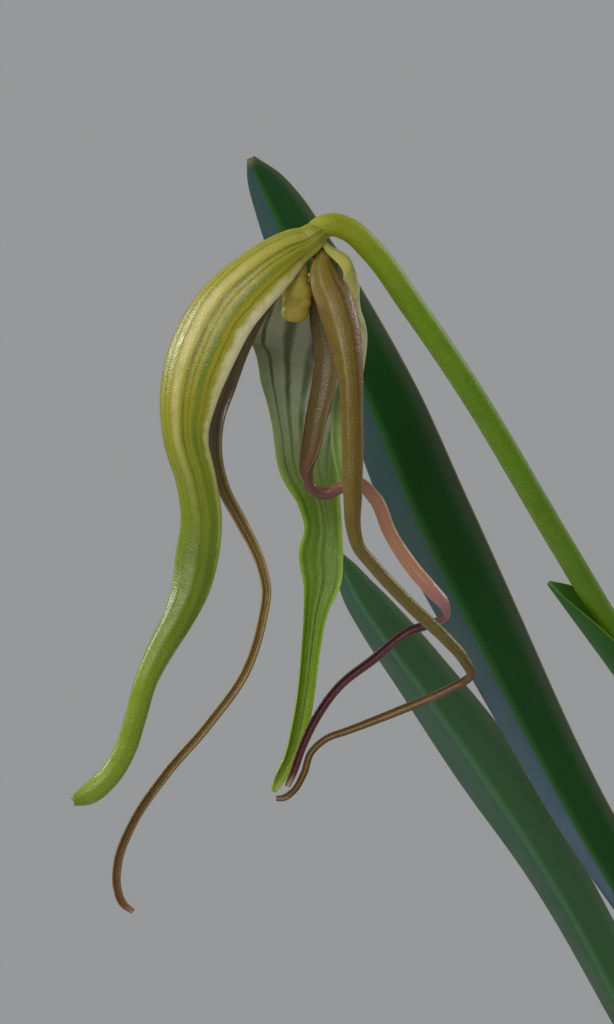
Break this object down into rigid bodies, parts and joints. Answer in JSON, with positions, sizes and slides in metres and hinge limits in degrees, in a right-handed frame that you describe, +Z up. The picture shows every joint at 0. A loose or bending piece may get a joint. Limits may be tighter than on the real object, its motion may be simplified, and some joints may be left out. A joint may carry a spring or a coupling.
{
  "type": "phragmipedium orchid",
  "caption": "Potted slipper orchid with long strap leaves and an arching stem that carries one hanging flower with ribbon-like tails.",
  "frame": {"origin": "middle of the pot's underside, at the height of the surface that it stands on", "axes": "+Z up along the pot; the flower hangs towards -X and -Y and the view of the picture looks along +Y"},
  "size_m": [0.4334, 0.1474, 0.4211],
  "materials": {
    "pot": "matt, terracotta-coloured",
    "potting_mix": "rough coarse bark",
    "rhizome": "dull, dry sheaths",
    "leaf": "satin, slightly waxy",
    "flower_stem": "satin with fine fuzz",
    "bract": "satin",
    "dorsal_sepal": "moist satin, veined",
    "synsepal": "moist satin, striped",
    "petal_near": "satin with hairy margins",
    "petal_far": "satin",
    "lip": "satin",
    "column": "waxy"
  },
  "bodies": {
    "root": {"pot": "pot", "potting_mix": "potting_mix", "rhizome": "rhizome", "leaf_near_left": "leaf", "leaf_far_left": "leaf", "leaf_low_left": "leaf", "leaf_young_right": "leaf", "leaf_far_right": "leaf", "leaf_near_right": "leaf", "leaf_low_right": "leaf", "flower_stem": "flower_stem", "bract_upper": "bract", "bract_lower": "bract", "column": "column", "dorsal_sepal": "dorsal_sepal", "synsepal": "synsepal", "petal_near": "petal_near", "petal_far": "petal_far", "lip": "lip"}
  },
  "joints": []
}
